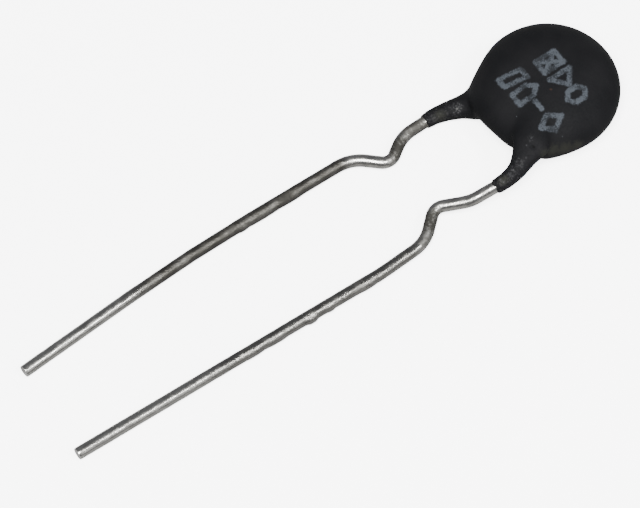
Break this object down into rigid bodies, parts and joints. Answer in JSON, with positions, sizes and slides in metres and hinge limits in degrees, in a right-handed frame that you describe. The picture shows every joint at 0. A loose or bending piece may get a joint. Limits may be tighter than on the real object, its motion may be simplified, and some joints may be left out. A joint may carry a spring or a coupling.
{
  "type": "ntc thermistor",
  "caption": "Resin-dipped NTC disc thermistor with one kinked wire lead from each face, lying on its back",
  "frame": {"origin": "middle of the flat back of the resin disc, on the surface that the part lies on", "axes": "+Z is the disc's axis, away from that surface, out of the printed front face; the leads run out along -Y; +X is the side of the lead that comes from the front face"},
  "size_m": [0.0094, 0.043, 0.004],
  "materials": {
    "resin": "satin black dipped resin, slightly uneven, speckled and pitted",
    "ceramic": "dark grey sintered oxide ceramic",
    "silver": "fired silver, dull",
    "solder": "solder, smooth and bright",
    "tinned_wire": "tinned wire, frosted and lightly stained"
  },
  "bodies": {
    "root": {"resin_coating": "resin", "ceramic_disc": "ceramic", "front_electrode": "silver", "back_electrode": "silver", "front_solder": "solder", "back_solder": "solder", "front_lead": "tinned_wire", "back_lead": "tinned_wire"}
  },
  "joints": []
}
